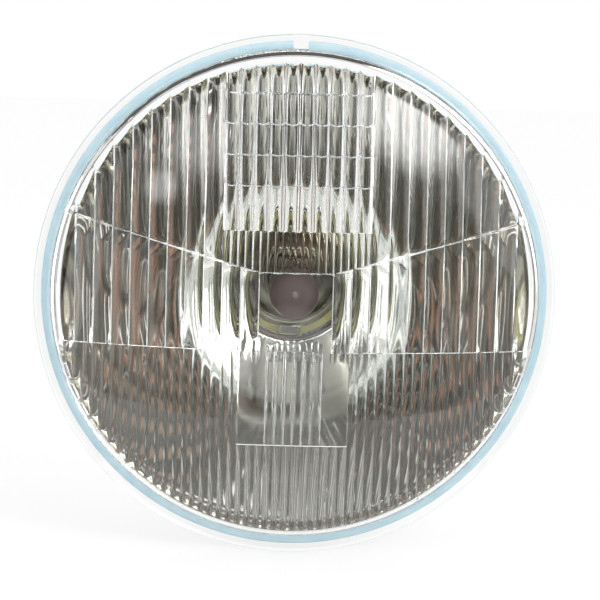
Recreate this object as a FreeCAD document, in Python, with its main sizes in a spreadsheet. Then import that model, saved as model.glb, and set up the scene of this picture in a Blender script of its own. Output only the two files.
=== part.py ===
import FreeCAD, Part
import math
import os
import re
import Sketcher

from FreeCAD import Placement, Rotation, Vector

# Round headlight unit: a fluted glass lens bonded to a bright reflector, with a two-filament bulb.
# Frame: the lens faces -Y, +Z is up, the origin is the centre of the flange's rear seat.

# Driving sizes, in millimetres and degrees
SIZES = {
    # lens
    "lens_radius": 89.0,
    "lens_flange": 4.0,
    "lens_wall": 4.2,
    "dome_radius": 208.0,
    "dome_height": 28.0,
    "shoulder_inset": 5.6,
    "shoulder_angle": 33.0,
    "skirt_inset": 7.4,
    "skirt_angle": 42.0,
    # flutes and steps of the lens
    "flute_pitch": 6.15,
    "flute_depth": 0.7,
    "fine_depth": 0.4,
    "flute_skew": 0.7,
    "step_height": 0.6,
    "chord_run": 33.0,
    "chevron_angle": 15.0,
    "chevron_height": 9.8,
    "band_bottom": -16.5,
    "block_bottom": -49.0,
    "grid_bottom": 23.6,
    "grid_first_row": 15.4,
    "grid_row": 10.1,
    "grid_tilt": 0.65,
    # seal and reflector
    "seal_thickness": 1.2,
    "seal_width": 3.8,
    "sheet": 0.8,
    "rim_inset": 2.7,
    "flange_width": 5.8,
    "focal_length": 27.0,
    "bowl_chords": 4,
    "neck_gap": 1.5,
    "seat_gap": 0.7,
    "notch_width": 5.2,
    "notch_depth": 3.3,
    # bulb holder and retainer
    "plate": 1.2,
    "holder_wall": 1.5,
    "hook_stand": 7.1,
    "hook_wall": 1.2,
    "hook_reach": 4.1,
    "hook_width": 10.0,
    "retainer_gap": 2.5,
    "retainer_rim": 3.5,
    "retainer_lug": 8.0,
    "grip_height": 6.0,
    "grip_width": 9.0,
    "running_gap": 0.3,
    "fit_gap": 0.1,
    # bulb
    "collar_radius": 18.9,
    "collar_front": 2.4,
    "lug_reach": 2.6,
    "lug_angle": 20.0,
    "key_angle": 12.0,
    "key_height": 3.2,
    "sleeve_radius": 9.6,
    "sleeve_front": 10.0,
    "glass_radius": 8.3,
    "glass_wall": 1.0,
    "glass_length": 60.0,
    "glass_tip": 3.0,
    "pinch_length": 9.0,
    "filament_radius": 0.75,
    "filament_length": 4.8,
    "lead_gauge": 0.9,
    "lead_spread": 4.0,
    "lead_foot": 3.0,
    "shield_radius": 3.2,
    "shield_wall": 0.3,
    "shield_length": 6.5,
    "base_radius": 13.0,
    "base_length": 14.0,
    "blade_width": 8.0,
    "blade_gauge": 0.8,
    "blade_length": 16.0,
    "blade_root": 5.0,
    "blade_chamfer": 1.5,
    "blade_offset": 7.6,
}

# Radii and depths that several pieces share, as expressions of the driving sizes
RIM = "(lens_radius - rim_inset)"
BOWL = f"({RIM} - flange_width)"
LUG = "(collar_radius + lug_reach)"
SEAT_HOLE = "(collar_radius + seat_gap)"
NECK_RADIUS = f"({LUG} + neck_gap)"
HOLDER = f"({LUG} + hook_stand)"
RETAINER = "(collar_radius + retainer_rim)"
VERTEX = f"({BOWL}^2 / (4 * focal_length) - sheet)"
NECK = f"({VERTEX} - {NECK_RADIUS}^2 / (4 * focal_length))"
BULB_SEAT = f"({NECK} + sheet + plate)"
FOCUS = f"({VERTEX} - focal_length - {BULB_SEAT})"
RETAINER_FRONT = "(plate + running_gap)"
RETAINER_REAR = f"({RETAINER_FRONT} + plate)"
HOOK_FRONT = f"({RETAINER_REAR} + running_gap)"
HOOK_REAR = f"({HOOK_FRONT} + hook_wall)"
MAIN_REAR = f"({FOCUS} + filament_length / 2)"
MAIN_FRONT = f"({FOCUS} - filament_length / 2)"
DIP_REAR = f"({MAIN_FRONT} - lead_gauge)"
DIP_FRONT = f"({DIP_REAR} - filament_length)"

ALONG_AXIS = Rotation(Vector(1, 0, 0), -90)
DEEP = 60.0
TOUCHING = 1e-6

# Half widths of the lens's zones, in flutes, and the grid's columns
CLEAR_HALF = 2
GRID_HALF = 4
BLOCK_HALF = 1.5
PANE_HALF = 3
GRID_COLUMNS = 10

doc = FreeCAD.newDocument("round_headlight")


def make_sheet():
    """Write every driving size into the sheet, one row with its alias each."""
    sheet = doc.addObject("Spreadsheet::Sheet", "sizes")
    for row, (name, value) in enumerate(SIZES.items(), start=1):
        sheet.set(f"A{row}", name)
        sheet.set(f"B{row}", str(value))
        sheet.setAlias(f"B{row}", name)
    doc.recompute()
    return sheet


sheet = make_sheet()


def size(name):
    return float(sheet.get(name))


def cells(words):
    """Turn the size names of an expression into references to the sheet."""
    def reference(found):
        return "sizes." + found[0] if found[0] in SIZES else found[0]

    return re.sub(r"[a-z][a-z_]+", reference, words)


def bind(item, **words):
    """Bind properties to expressions; x, y and z stand for the placement's own coordinates."""
    for name, expression in words.items():
        target = f"Placement.Base.{name}" if name in ("x", "y", "z") else name
        item.setExpression(target, cells(expression))


def new_body(name):
    body = doc.addObject("PartDesign::Body", name)
    body.Label = name
    return body


def outline(body, name, loops, plane="YZ_Plane", hole=None):
    """Closed loops on an origin plane, each corner's two coordinates given as expressions."""
    sketch = body.newObject("Sketcher::SketchObject", name)
    support = [feature for feature in body.Origin.OriginFeatures if feature.Role == plane]
    sketch.AttachmentSupport = [(support[0], "")]
    sketch.MapMode = "FlatFace"
    for corners in loops:
        draw_loop(sketch, corners)
    if hole:
        index = sketch.addGeometry(Part.Circle(Vector(), Vector(0, 0, 1), 1))
        sketch.addConstraint(Sketcher.Constraint("Coincident", index, 3, -1, 1))
        radius = sketch.addConstraint(Sketcher.Constraint("Radius", index, 1))
        sketch.setExpression(f"Constraints[{radius}]", cells(hole))
    return sketch


def draw_loop(sketch, corners):
    """Chain of lines whose corners are held at their distances from the sketch's origin."""
    first = sketch.GeometryCount
    count = len(corners)
    turns = [2 * math.pi * i / count for i in range(count)]
    start = [Vector(math.cos(turn), math.sin(turn), 0) for turn in turns]
    for i in range(count):
        sketch.addGeometry(Part.LineSegment(start[i], start[(i + 1) % count]))
    for i in range(count):
        after = first + (i + 1) % count
        sketch.addConstraint(Sketcher.Constraint("Coincident", first + i, 2, after, 1))
    for i, corner in enumerate(corners):
        guesses = (start[i].x, start[i].y)
        for kind, words, guess in zip(("DistanceX", "DistanceY"), corner, guesses):
            index = sketch.addConstraint(Sketcher.Constraint(kind, -1, 1, first + i, 1, guess))
            sketch.setExpression(f"Constraints[{index}]", cells(words))


def turned(body, name, corners, sweep=None):
    """Turn an outline of (depth, height) corners about the optical axis, all round or by an angle."""
    sketch = outline(body, name + "_outline", [corners])
    turn = body.newObject("PartDesign::Revolution", name)
    turn.Profile = sketch
    turn.ReferenceAxis = (sketch, ["H_Axis"])
    turn.Angle = 360
    if sweep:
        bind(turn, Angle=sweep)
        turn.Midplane = True
    return turn


def thrice(body, features):
    """Repeat features of a body at thirds of a turn about the optical axis."""
    pattern = body.newObject("PartDesign::PolarPattern", body.Name + "_thirds")
    pattern.Originals = features
    pattern.Axis = ([item for item in body.Origin.OriginFeatures if item.Role == "Y_Axis"][0], [""])
    pattern.Angle = 360
    pattern.Occurrences = 3
    body.Tip = pattern
    return pattern


def thirds(corners):
    """The same (across, outward) corners at three directions about the axis, the first straight up."""
    placed = []
    for angle in (0, -120, -240):
        for across, outward in corners:
            placed.append((f"({across}) * cos({angle} deg) - ({outward}) * sin({angle} deg)",
                           f"({across}) * sin({angle} deg) + ({outward}) * cos({angle} deg)"))
    return placed


def body_pad(body, name, loops, thickness, plane, rearward=False, hole=None):
    """Thicken an outline evenly to both sides of its plane, or rearwards from the bulb's seat."""
    sketch = outline(body, name + "_outline", loops, plane, hole)
    pad = body.newObject("PartDesign::Pad", name)
    pad.Profile = sketch
    pad.Midplane = not rearward
    pad.Reversed = rearward
    bind(pad, Length=thickness)
    return pad


def ring(front, rear, inner, outer):
    """Corners of a ring's section."""
    return [(front, inner), (rear, inner), (rear, outer), (front, outer)]


def box(name, lengths, at):
    item = doc.addObject("Part::Box", name)
    bind(item, Length=lengths[0], Width=lengths[1], Height=lengths[2], x=at[0], y=at[1], z=at[2])
    return item


def joined(kind, name, items):
    """Boolean of several items: Part::MultiFuse, Part::Compound or Part::Cut."""
    result = doc.addObject(kind, name)
    result.Label = name
    if kind == "Part::Cut":
        result.Base, result.Tool = items
    elif kind == "Part::Compound":
        result.Links = items
    else:
        result.Shapes = items
    return result


def solid_feature(name, shape):
    feature = doc.addObject("Part::Feature", name)
    feature.Label = name
    feature.Shape = shape
    feature.Placement = Placement()
    return feature


# Lens: a turned blank, hollowed by a core whose front carries the flutes and steps

def dome_centre():
    return size("dome_radius") - size("dome_height")


def skirt_radius():
    return size("lens_radius") - size("skirt_inset")


def lens_rear():
    return -size("sheet") - size("seal_thickness")


def lens_blank():
    """Solid dome with a sloping shoulder and a flat flange."""
    tip = -size("dome_height")
    shoulder = size("lens_radius") - size("shoulder_inset")
    rear = lens_rear()
    front = rear - size("lens_flange")
    narrowing = (front - tip) * math.tan(math.radians(size("shoulder_angle")))
    corners = [
        Vector(0, rear, 0),
        Vector(size("lens_radius"), rear, 0),
        Vector(size("lens_radius"), front, 0),
        Vector(shoulder, front, 0),
        Vector(shoulder - narrowing, tip, 0),
        Vector(0, tip, 0),
    ]
    blank = Part.Face(Part.makePolygon(corners + corners[:1])).revolve(Vector(), Vector(0, 1, 0), 360)
    return blank.common(Part.makeSphere(size("dome_radius"), Vector(0, dome_centre(), 0)))


def flute_lines(start, end, pitch):
    """Where one flute ends and the next begins, between two reaches across the lens."""
    first = math.floor(start / pitch) + 1
    inner = [k * pitch for k in range(first, math.ceil(end / pitch))]
    inner = [x for x in inner if start + pitch / 8 < x < end - pitch / 8]
    return [start] + inner + [end]


def fluted_face(start, end, pitch, hollow, wall):
    """Section of the core at mid height: ridges on the inner dome, one skewed hollow to a flute."""
    centre = dome_centre()
    radius = size("dome_radius") - wall
    lines = flute_lines(start, end, pitch)
    outward = size("flute_skew")

    def at(x, rise):
        return Vector(x, centre - math.sqrt(radius ** 2 - x ** 2) - rise, 0)

    points = [Vector(start, DEEP, 0), at(start, 0)]
    for left, right in zip(lines, lines[1:]):
        share = outward if left + right > TOUCHING else 1 - outward
        if hollow:
            points.append(at(left + share * (right - left), hollow))
        points.append(at(right, 0))
    points.append(Vector(end, DEEP, 0))
    return Part.Face(Part.makePolygon(points + points[:1]))


def straight_slab(face, low, high, lean_share):
    """Run a section straight up between two heights, leaning a share of the dome's own rise."""
    reach = size("dome_radius") - size("lens_wall")

    def set_back(height):
        return reach - math.sqrt(reach ** 2 - height ** 2)

    rise = lean_share * (set_back(high) - set_back(low))
    middle = (set_back(high) + set_back(low)) / 2
    face = face.copy()
    face.translate(Vector(0, middle - rise / 2, low))
    return face.extrude(Vector(0, rise, high - low))


def prism(corners):
    """Zone of the lens, from its corners across and up, deep enough to pass right through."""
    points = [Vector(x, -DEEP, z) for x, z in corners]
    wire = Part.makePolygon(points + points[:1])
    return Part.Face(wire).extrude(Vector(0, 2 * DEEP, 0))


def skirt_plug():
    """Cone inside the skirt, from the flange's rear forwards."""
    rear = lens_rear()
    radius = skirt_radius()
    length = radius / 2 / math.tan(math.radians(size("skirt_angle")))
    return Part.makeCone(radius, radius / 2, length, Vector(0, rear, 0), Vector(0, -1, 0))


def zone_core(plug, corners, pitch, hollow, wall):
    """One zone of the core: its prism inside the skirt, under flutes that follow the dome in short runs."""
    across = [x for x, z in corners]
    low = min(z for x, z in corners)
    high = max(z for x, z in corners)
    face = fluted_face(min(across), max(across), pitch, hollow, wall)
    block = prism(corners).common(plug)
    runs = math.ceil((high - low) / size("chord_run"))
    levels = [low + (high - low) * i / runs for i in range(runs + 1)]
    return [block.common(straight_slab(face, foot, top, 1)) for foot, top in zip(levels, levels[1:])]


def rectangle(left, right, low, high):
    return [(left, low), (right, low), (right, high), (left, high)]


def chevron(x):
    """Height of the step that rises outwards from the clear panel's upper corners."""
    slope = math.tan(math.radians(size("chevron_angle")))
    return size("chevron_height") + slope * (abs(x) - CLEAR_HALF * size("flute_pitch"))


def side_zones(plug, side):
    """Coarse flutes above and below the chevron step, fine flutes and a clear pane under them."""
    pitch = size("flute_pitch")
    wall = size("lens_wall")
    step = size("step_height")
    floor = size("band_bottom")
    edge = side * skirt_radius()
    grid = side * GRID_HALF * pitch
    clear = side * CLEAR_HALF * pitch
    block = side * BLOCK_HALF * pitch
    pane = side * PANE_HALF * pitch
    upper = [(grid, chevron(grid)), (edge, chevron(edge)), (edge, abs(edge)), (grid, abs(edge))]
    band = [(clear, floor), (edge, floor), (edge, chevron(edge)), (clear, chevron(clear))]
    lower = rectangle(pane, edge, -abs(edge), floor)
    zones = zone_core(plug, upper, pitch, size("flute_depth"), wall)
    zones += zone_core(plug, band, pitch, size("flute_depth"), wall + step)
    zones += zone_core(plug, lower, pitch / 2, size("fine_depth"), wall + 2 * step)
    zones += zone_core(plug, rectangle(block, pane, size("block_bottom"), floor), pitch, 0, wall)
    return zones


def middle_zones(plug):
    """Fine flutes under the grid, the clear panel, the small block and the fine flutes below it."""
    pitch = size("flute_pitch")
    wall = size("lens_wall")
    step = size("step_height")
    shallow = size("fine_depth")
    floor = size("band_bottom")
    sill = size("block_bottom")
    foot = size("grid_bottom")
    grid = GRID_HALF * pitch
    clear = CLEAR_HALF * pitch
    block = BLOCK_HALF * pitch
    pane = PANE_HALF * pitch
    fan = [(clear, chevron(clear)), (grid, chevron(grid)), (grid, foot)]
    fan += [(-x, z) for x, z in reversed(fan)]
    zones = zone_core(plug, fan, pitch / 2, shallow, wall + step)
    zones += zone_core(plug, rectangle(-clear, clear, floor, chevron(clear)), 2 * clear, 0, wall)
    zones += zone_core(plug, rectangle(-block, block, sill, floor), pitch / 2, shallow, wall + step)
    lowest = rectangle(-pane, pane, -skirt_radius(), sill)
    zones += zone_core(plug, lowest, pitch / 2, shallow, wall + 2 * step)
    return zones


def grid_row(plug, low, high):
    """One row of the grid, flatter than the dome, so that it steps against its neighbours."""
    half = GRID_HALF * size("flute_pitch")
    face = fluted_face(-half, half, 2 * half / GRID_COLUMNS, size("flute_depth"), size("lens_wall"))
    block = prism(rectangle(-half, half, low, high)).common(plug)
    return block.common(straight_slab(face, low, high, size("grid_tilt")))


def grid_zones(plug):
    """Rows of the grid from its foot up to the skirt."""
    top = skirt_radius()
    low = size("grid_bottom")
    high = low + size("grid_first_row")
    rows = []
    while low < top:
        rows.append(grid_row(plug, low, min(high, top)))
        low = high
        high = high + size("grid_row")
    return rows


def make_lens():
    """Blank with every zone of the core taken out of it."""
    plug = skirt_plug()
    zones = side_zones(plug, 1) + side_zones(plug, -1) + middle_zones(plug) + grid_zones(plug)
    return solid_feature("lens", lens_blank().cut(zones).removeSplitter())


# Seal and reflector

def make_notch():
    """Locating notch at the top of the flange, through the seal as well."""
    depth = "sheet + seal_thickness + 2"
    return box("notch", ("notch_width", depth, "lens_radius"),
               ("-notch_width / 2", "-sheet - seal_thickness - 1", f"{RIM} - notch_depth"))


def make_seal(notch):
    body = new_body("seal_ring")
    turned(body, "seal_turn", ring("-sheet - seal_thickness", "-sheet", f"{RIM} - seal_width", RIM))
    return joined("Part::Cut", "lens_seal", [body, notch])


def bowl_curve(focal, focus, start, end):
    """Points of a parabola about the optical axis, between two radii."""
    count = round(size("bowl_chords"))
    radii = [start + (end - start) * i / count for i in range(count + 1)]
    return [Vector(radius, focus + focal - radius ** 2 / (4 * focal), 0) for radius in radii]


def reflector_bowl():
    """Sheet-metal bowl between two parabolas that share one focus, with a flange and a flat bulb seat."""
    wall = size("sheet")
    focal = size("focal_length")
    rim = size("lens_radius") - size("rim_inset")
    bowl = rim - size("flange_width")
    lug = size("collar_radius") + size("lug_reach")
    neck = lug + size("neck_gap")
    hole = size("collar_radius") + size("seat_gap")
    vertex = bowl ** 2 / (4 * focal) - wall
    focus = vertex - focal
    seat = vertex - neck ** 2 / (4 * focal)
    outer_rim = math.sqrt(4 * (focal + wall) * (vertex + wall))
    outer_neck = math.sqrt(4 * (focal + wall) * (vertex - seat))
    points = bowl_curve(focal, focus, neck, bowl)
    points += [Vector(rim, -wall, 0), Vector(rim, 0, 0)]
    points += bowl_curve(focal + wall, focus, outer_rim, outer_neck)
    points += [Vector(hole, seat + wall, 0), Vector(hole, seat, 0)]
    face = Part.Face(Part.makePolygon(points + points[:1]))
    return solid_feature("bowl", face.revolve(Vector(), Vector(0, 1, 0), 360))


def make_key_slot():
    """Slot through the holder and the seat, at the bottom, where the bulb's key shows."""
    width = f"2 * {LUG} * sin(key_angle / 2 * 1 deg) + 2 * running_gap"
    return box("key_slot", (width, "2 * plate + 2 * sheet", f"{LUG} - {SEAT_HOLE} / 2"),
               (f"-({width}) / 2", f"{BULB_SEAT} - 2 * plate - sheet", f"-{LUG} - running_gap"))


def make_reflector(notch, slot):
    tools = joined("Part::Compound", "reflector_cuts", [notch, slot])
    return joined("Part::Cut", "reflector", [reflector_bowl(), tools])


# Bulb holder and retainer, modelled about the bulb's seat

def make_holder(slot):
    """Pressed plate, a triangle with cut corners, with a bayonet hook on each cut and a stop beside it."""
    body = new_body("holder_plate")
    half = f"({LUG} + running_gap + holder_wall - {HOLDER} / 2) / cos(30 deg)"
    plate = thirds([(f"-{half}", HOLDER), (half, HOLDER)])
    body_pad(body, "holder_sheet", [plate], "plate", "XZ_Plane", True, "collar_radius + fit_gap")
    reach = f"{HOLDER} - hook_reach"
    inside = f"{HOLDER} - hook_wall"
    lip = f"{HOOK_FRONT} + plate"
    end = f"{HOOK_REAR} + plate"
    section = [("plate", HOLDER), (end, HOLDER), (end, reach)]
    section += [(lip, reach), (lip, inside), ("plate", inside)]
    hook = body_pad(body, "hook", [section], "hook_width", "YZ_Plane")
    side = "-hook_width / 2"
    stop = [(side, reach), (f"{side} + hook_wall", reach)]
    stop += [(f"{side} + hook_wall", HOLDER), (side, HOLDER)]
    stop = body_pad(body, "stop", [stop], end, "XZ_Plane", True)
    thrice(body, [hook, stop])
    bind(body, y=f"{BULB_SEAT} - plate")
    return joined("Part::Cut", "bulb_holder", [body, slot])


def make_retainer():
    """Bayonet plate: three lugs under the hooks, three grips bent up to turn it by."""
    body = new_body("bulb_retainer")
    start = "-hook_width / 2 + hook_wall + running_gap"
    tip = f"{HOLDER} - hook_wall - 3 * running_gap"
    root = f"{HOLDER} - hook_reach - 4 * running_gap"
    around = thirds([(start, root), (start, tip), (f"{start} + retainer_lug", tip),
                     (f"{RETAINER} * sin(60 deg)", f"{RETAINER} * cos(60 deg)")])
    corner = "(base_radius + retainer_gap) / cos(30 deg)"
    opening = thirds([("0", corner), (f"{corner} * sin(60 deg)", f"{corner} * cos(60 deg)")])
    body_pad(body, "retainer_sheet", [around, opening], "plate", "XZ_Plane", True)
    grip = ring("0", "plate + grip_height", f"-{RETAINER} + plate", f"-{RETAINER} + 2 * plate")
    grip = body_pad(body, "grip", [grip], "grip_width", "YZ_Plane")
    thrice(body, [grip])
    bind(body, y=f"{BULB_SEAT} + {RETAINER_FRONT}")
    return body


# Bulb, modelled about its seat: glass forwards, base and blades rearwards

def make_collar():
    """Metal foot of the bulb: a sleeve round the glass, a disc with three lugs and a locating key."""
    body = new_body("bulb_collar")
    bore = "glass_radius + fit_gap"
    section = [("-sleeve_front", bore), ("plate", bore), ("plate", "collar_radius")]
    section += [("-collar_front", "collar_radius"), ("-collar_front", "sleeve_radius")]
    section += [("-sleeve_front", "sleeve_radius")]
    turned(body, "collar_turn", section)
    lug = ring("0", "plate", f"-{LUG}", "-collar_radius + fit_gap")
    thrice(body, [turned(body, "collar_lug", lug, "lug_angle")])
    key = ring("-key_height", "0", f"-{LUG}", f"-{LUG} + plate")
    turned(body, "collar_key", key, "key_angle")
    bind(body, y=BULB_SEAT)
    return body


def make_glass(leads):
    """Tube closed by a thick tip, hollow ahead of the pinch, which the leads pass into."""
    outer = new_body("glass_outer")
    turned(outer, "glass_turn", ring("-glass_length", "plate", "0", "glass_radius"))
    inner = new_body("glass_hollow")
    hollow = ring("-glass_length + glass_tip", "-pinch_length", "0", "glass_radius - glass_wall")
    turned(inner, "hollow_turn", hollow)
    for body in (outer, inner):
        bind(body, y=BULB_SEAT)
    tools = joined("Part::Compound", "glass_cuts", [inner] + leads)
    return joined("Part::Cut", "bulb_glass", [outer, tools])


def make_lead(name, reach, angle):
    """Square wire beside the axis, from the pinch to an arm that ends on the axis."""
    gauge = "lead_gauge"
    body = new_body(name)
    inside = "lead_spread - lead_gauge"
    corners = [("-lead_foot", inside), ("-lead_foot", "lead_spread"), (reach, "lead_spread"), (reach, "0")]
    corners += [(f"{reach} + {gauge}", "0"), (f"{reach} + {gauge}", inside)]
    body_pad(body, name + "_wire", [corners], gauge, "YZ_Plane")
    body.Placement = Placement(Vector(), Rotation(Vector(0, 1, 0), angle))
    bind(body, y=BULB_SEAT)
    return body


def make_leads():
    """Three leads: to the rear end, the joint and the front end of the two filaments."""
    main = make_lead("lead_main", MAIN_REAR, -90)
    dip = make_lead("lead_dip", f"{DIP_FRONT} - lead_gauge", 90)
    common = make_lead("lead_common", f"{MAIN_FRONT} - lead_gauge", 0)
    return [main, dip, common]


def make_filament(name, front):
    """Envelope of a close-wound filament, along the axis."""
    item = doc.addObject("Part::Prism", name)
    item.Label = name
    item.Polygon = 6
    item.Placement = Placement(Vector(), ALONG_AXIS)
    bind(item, Circumradius="filament_radius", Height="filament_length", y=f"{BULB_SEAT} + {front}")
    return item


def make_shield():
    """Folded trough round the upper side of the dip filament, carried by the common lead's arm."""
    body = new_body("dip_shield")
    angles = (10, 50, 90, 130, 170)
    inner = "shield_radius - shield_wall"
    section = [(f"shield_radius * cos({a} deg)", f"shield_radius * sin({a} deg)") for a in angles]
    section += [(f"({inner}) * cos({a} deg)", f"({inner}) * sin({a} deg)") for a in reversed(angles)]
    body_pad(body, "shield_sheet", [section], "shield_length", "XZ_Plane", True)
    bind(body, y=f"{BULB_SEAT} + {DIP_REAR} - shield_length")
    return body


def make_blade(name, angle):
    """Flat blade with a tapered tip, standing in the base at an angle about the axis."""
    body = new_body(name)
    half = "blade_width / 2"
    front = "base_length - blade_root"
    rear = "base_length + blade_length"
    corners = [(f"-{half}", front), (half, front), (half, f"{rear} - blade_chamfer")]
    corners += [(f"{half} - blade_chamfer", rear), (f"-{half} + blade_chamfer", rear)]
    corners += [(f"-{half}", f"{rear} - blade_chamfer")]
    body_pad(body, name + "_blade", [corners], "blade_gauge", "XY_Plane")
    body.Placement = Placement(Vector(), Rotation(Vector(0, 1, 0), angle))
    bind(body, x=f"blade_offset * sin({angle} deg)", y=BULB_SEAT, z=f"blade_offset * cos({angle} deg)")
    return body


def make_base(blades):
    """Insulating block with twelve flats behind the collar, and a slot for each blade."""
    block = doc.addObject("Part::Prism", "base_block")
    block.Polygon = 12
    block.Placement = Placement(Vector(), ALONG_AXIS)
    bind(block, Circumradius="base_radius", Height="base_length - plate", y=f"{BULB_SEAT} + plate")
    tools = joined("Part::Compound", "base_cuts", blades)
    return joined("Part::Cut", "base_insulator", [block, tools])


def make_parts():
    notch = make_notch()
    slot = make_key_slot()
    leads = make_leads()
    blades = [make_blade("terminal_main", 90), make_blade("terminal_dip", -90)]
    blades += [make_blade("terminal_ground", 180)]
    parts = [make_lens(), make_seal(notch), make_reflector(notch, slot)]
    parts += [make_holder(slot), make_retainer(), make_collar()]
    parts += [make_glass(leads), make_filament("main_filament", MAIN_FRONT)]
    parts += [make_filament("dip_filament", DIP_FRONT), make_shield()]
    return parts + leads + [make_base(blades)] + blades


def write_parts(parts):
    """Stop on any object that failed, then write each sub-part to its own file."""
    doc.recompute()
    failed = [item.Name for item in doc.Objects if {"Invalid", "Error"} & set(item.State)]
    failed += [item.Label for item in parts if item.Shape.isNull() or not item.Shape.isValid()]
    if failed:
        raise RuntimeError("failed objects: " + ", ".join(failed))
    os.makedirs("parts", exist_ok=True)
    for item in parts:
        item.Shape.exportStep(f"parts/{item.Label}.step")


write_parts(make_parts())
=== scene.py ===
import math

import bmesh
import bpy
import numpy as np
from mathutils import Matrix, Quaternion, Vector
from mathutils.geometry import delaunay_2d_cdt


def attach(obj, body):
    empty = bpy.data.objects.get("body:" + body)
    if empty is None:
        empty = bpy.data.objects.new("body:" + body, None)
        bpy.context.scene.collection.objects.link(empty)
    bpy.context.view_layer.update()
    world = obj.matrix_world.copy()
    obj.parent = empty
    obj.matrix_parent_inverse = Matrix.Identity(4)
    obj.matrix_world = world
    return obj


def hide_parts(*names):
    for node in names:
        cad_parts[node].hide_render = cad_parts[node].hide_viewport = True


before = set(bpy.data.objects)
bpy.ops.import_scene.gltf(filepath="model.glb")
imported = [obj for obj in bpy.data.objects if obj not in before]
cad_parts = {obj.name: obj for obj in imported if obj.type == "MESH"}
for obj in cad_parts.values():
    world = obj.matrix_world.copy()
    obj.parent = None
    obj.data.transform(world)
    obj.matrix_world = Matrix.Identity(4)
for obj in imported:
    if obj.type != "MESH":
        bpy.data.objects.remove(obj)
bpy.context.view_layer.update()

MM = 0.001
MICRON = 1e-6

# Lens, in millimetres: the lens faces -Y and its rear face is at LENS_REAR
LENS_RADIUS = 89.0
LENS_REAR = -2.0
FLANGE_FRONT = -6.0
FLANGE_EDGE = 1.1
DOME_RADIUS = 208.0
DOME_CENTRE = 180.0
WALL = 4.2
SHOULDER_RADIUS = 83.4
SHOULDER_ANGLE = math.radians(33)
SHOULDER_FOOT = 1.2
SHOULDER_BLEND = 4.6
SKIRT_RADIUS = 81.6
SKIRT_ANGLE = math.radians(23)

# Zones of its inner face: pitches and half widths across, heights of their edges, and the steps between them
PITCH = 6.15
FINE = PITCH / 2
COLUMN = 0.8 * PITCH
CLEAR_HALF = 2 * PITCH
GRID_HALF = 4 * PITCH
BLOCK_HALF = 1.5 * PITCH
PANE_HALF = 3 * PITCH
CHEVRON_FOOT = 9.8
CHEVRON_SLOPE = math.tan(math.radians(15))
BAND_BOTTOM = -16.5
BLOCK_BOTTOM = -49.0
GRID_FOOT = 23.6
ROW_HEIGHT = 10.1
GRID_ROWS = [39.0 + ROW_HEIGHT * k for k in range(4)]
ROW_SAG = 0.6
ROW_TILT = 0.65
STEP = 0.6
RISER = 0.7

# Flutes: the depth of each kind; the power of its curve, where 2 is round and more has a flatter floor; how
# far it lies level across, where 0 follows the dome; and how far every edge is rounded
FLUTE_SAG = 0.7
FINE_SAG = 0.22
RIPPLE_SAG = 0.13
COLUMN_SAG = 1.4
BLOCK_SAG = 0.45
FLAT_FLOOR = 2.6
BLOCK_FLOOR = 7.0
FLUTE_LEVEL = 0.65
FINE_LEVEL = 0.15
ROUNDING = 0.17

# Where points stand on the inner face: beside a sharp edge in shares of the rounding, beside the slanting
# step in shares of its riser, across a fine flute in shares of its pitch, and in from the skirt
SHARP_PLACES = (-1.05, -0.4, 0.4, 1.05)
RISER_PLACES = (-0.65, -0.36, 0, 0.36, 0.65)
FLUTE_PLACES = (0.22, 0.36, 0.5, 0.64, 0.78)
SKIRT_PLACES = (0.002, 0.03, 0.12, 0.3, 0.6, 1.0)
SKIRT_MARGIN = 1.5
LEAST_GAP = 0.03

# Steps of the turned pieces, the turns of top and bottom, and thirds of a turn in degrees
LENS_TURN = 360
BOWL_TURN, BOWL_STEPS = 192, 44
SEAL_TURN = 300
GLASS_TURN = 72
COLLAR_TURN = 120
TOP, BOTTOM = math.pi / 2, 3 * math.pi / 2
THIRDS = (0, 120, 240)

# Reflector, bulb seat and seal
FOCAL = 27.0
VERTEX = 59.2
SHEET = 0.8
BOWL_RADIUS = 80.5
RIM_RADIUS = 86.3
NECK_RADIUS = 23.0
SEAT_HOLE = 21.2
SEAT_EDGE = 0.35
NOTCH_HALF = 2.6
NOTCH_FLOOR = 83.0
NOTCH_TURN = math.asin(NOTCH_HALF / RIM_RADIUS)
SEAL_INNER = 82.0
SEAL_SIDE, SEAL_CROWN, SEAL_CURVE = 0.25, 0.95, 0.8
SEAL_DRAWN, DRAWN_CURVE = 1.1, 0.7
SEAL_DRAWN_TURN = math.radians(18)

# Bulb: depths along the optical axis, and the pip at its tip as radii and heights
GLASS_RADIUS = 8.3
GLASS_WALL = 1.0
GLASS_TIP = -3.7
GLASS_FOOT = 57.5
TIP_DEPTH = 4.2
PIP_FOOT = 1.5
PIP = [(1.2, 0.1), (1.0, 0.35), (0.75, 0.58), (0.4, 0.68), (0, 0.7)]
TIP_CURVE = 0.8
PINCH = 47.3
COAT_END = 13.0
COAT = 0.06
FILAMENT_RADIUS = 0.75
COIL_TURNS = 9
COIL_WIRE = 0.13
COIL_TAIL = 0.35
MAIN_FRONT, MAIN_REAR = 29.8, 34.6
DIP_FRONT, DIP_REAR = 24.1, 28.9
LEAD_REACH, LEAD_TIP = 3.55, 0.1
LEAD_GAUGE = 0.9
LEAD_BEND = 1.0
LEAD_FOOT = 53.3
SHIELD_RADIUS = 3.2
SHIELD_WALL = 0.3
SHIELD_ARC = (10, 170)
SHIELD_FRONT, SHIELD_REAR = 22.4, 28.9

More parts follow.
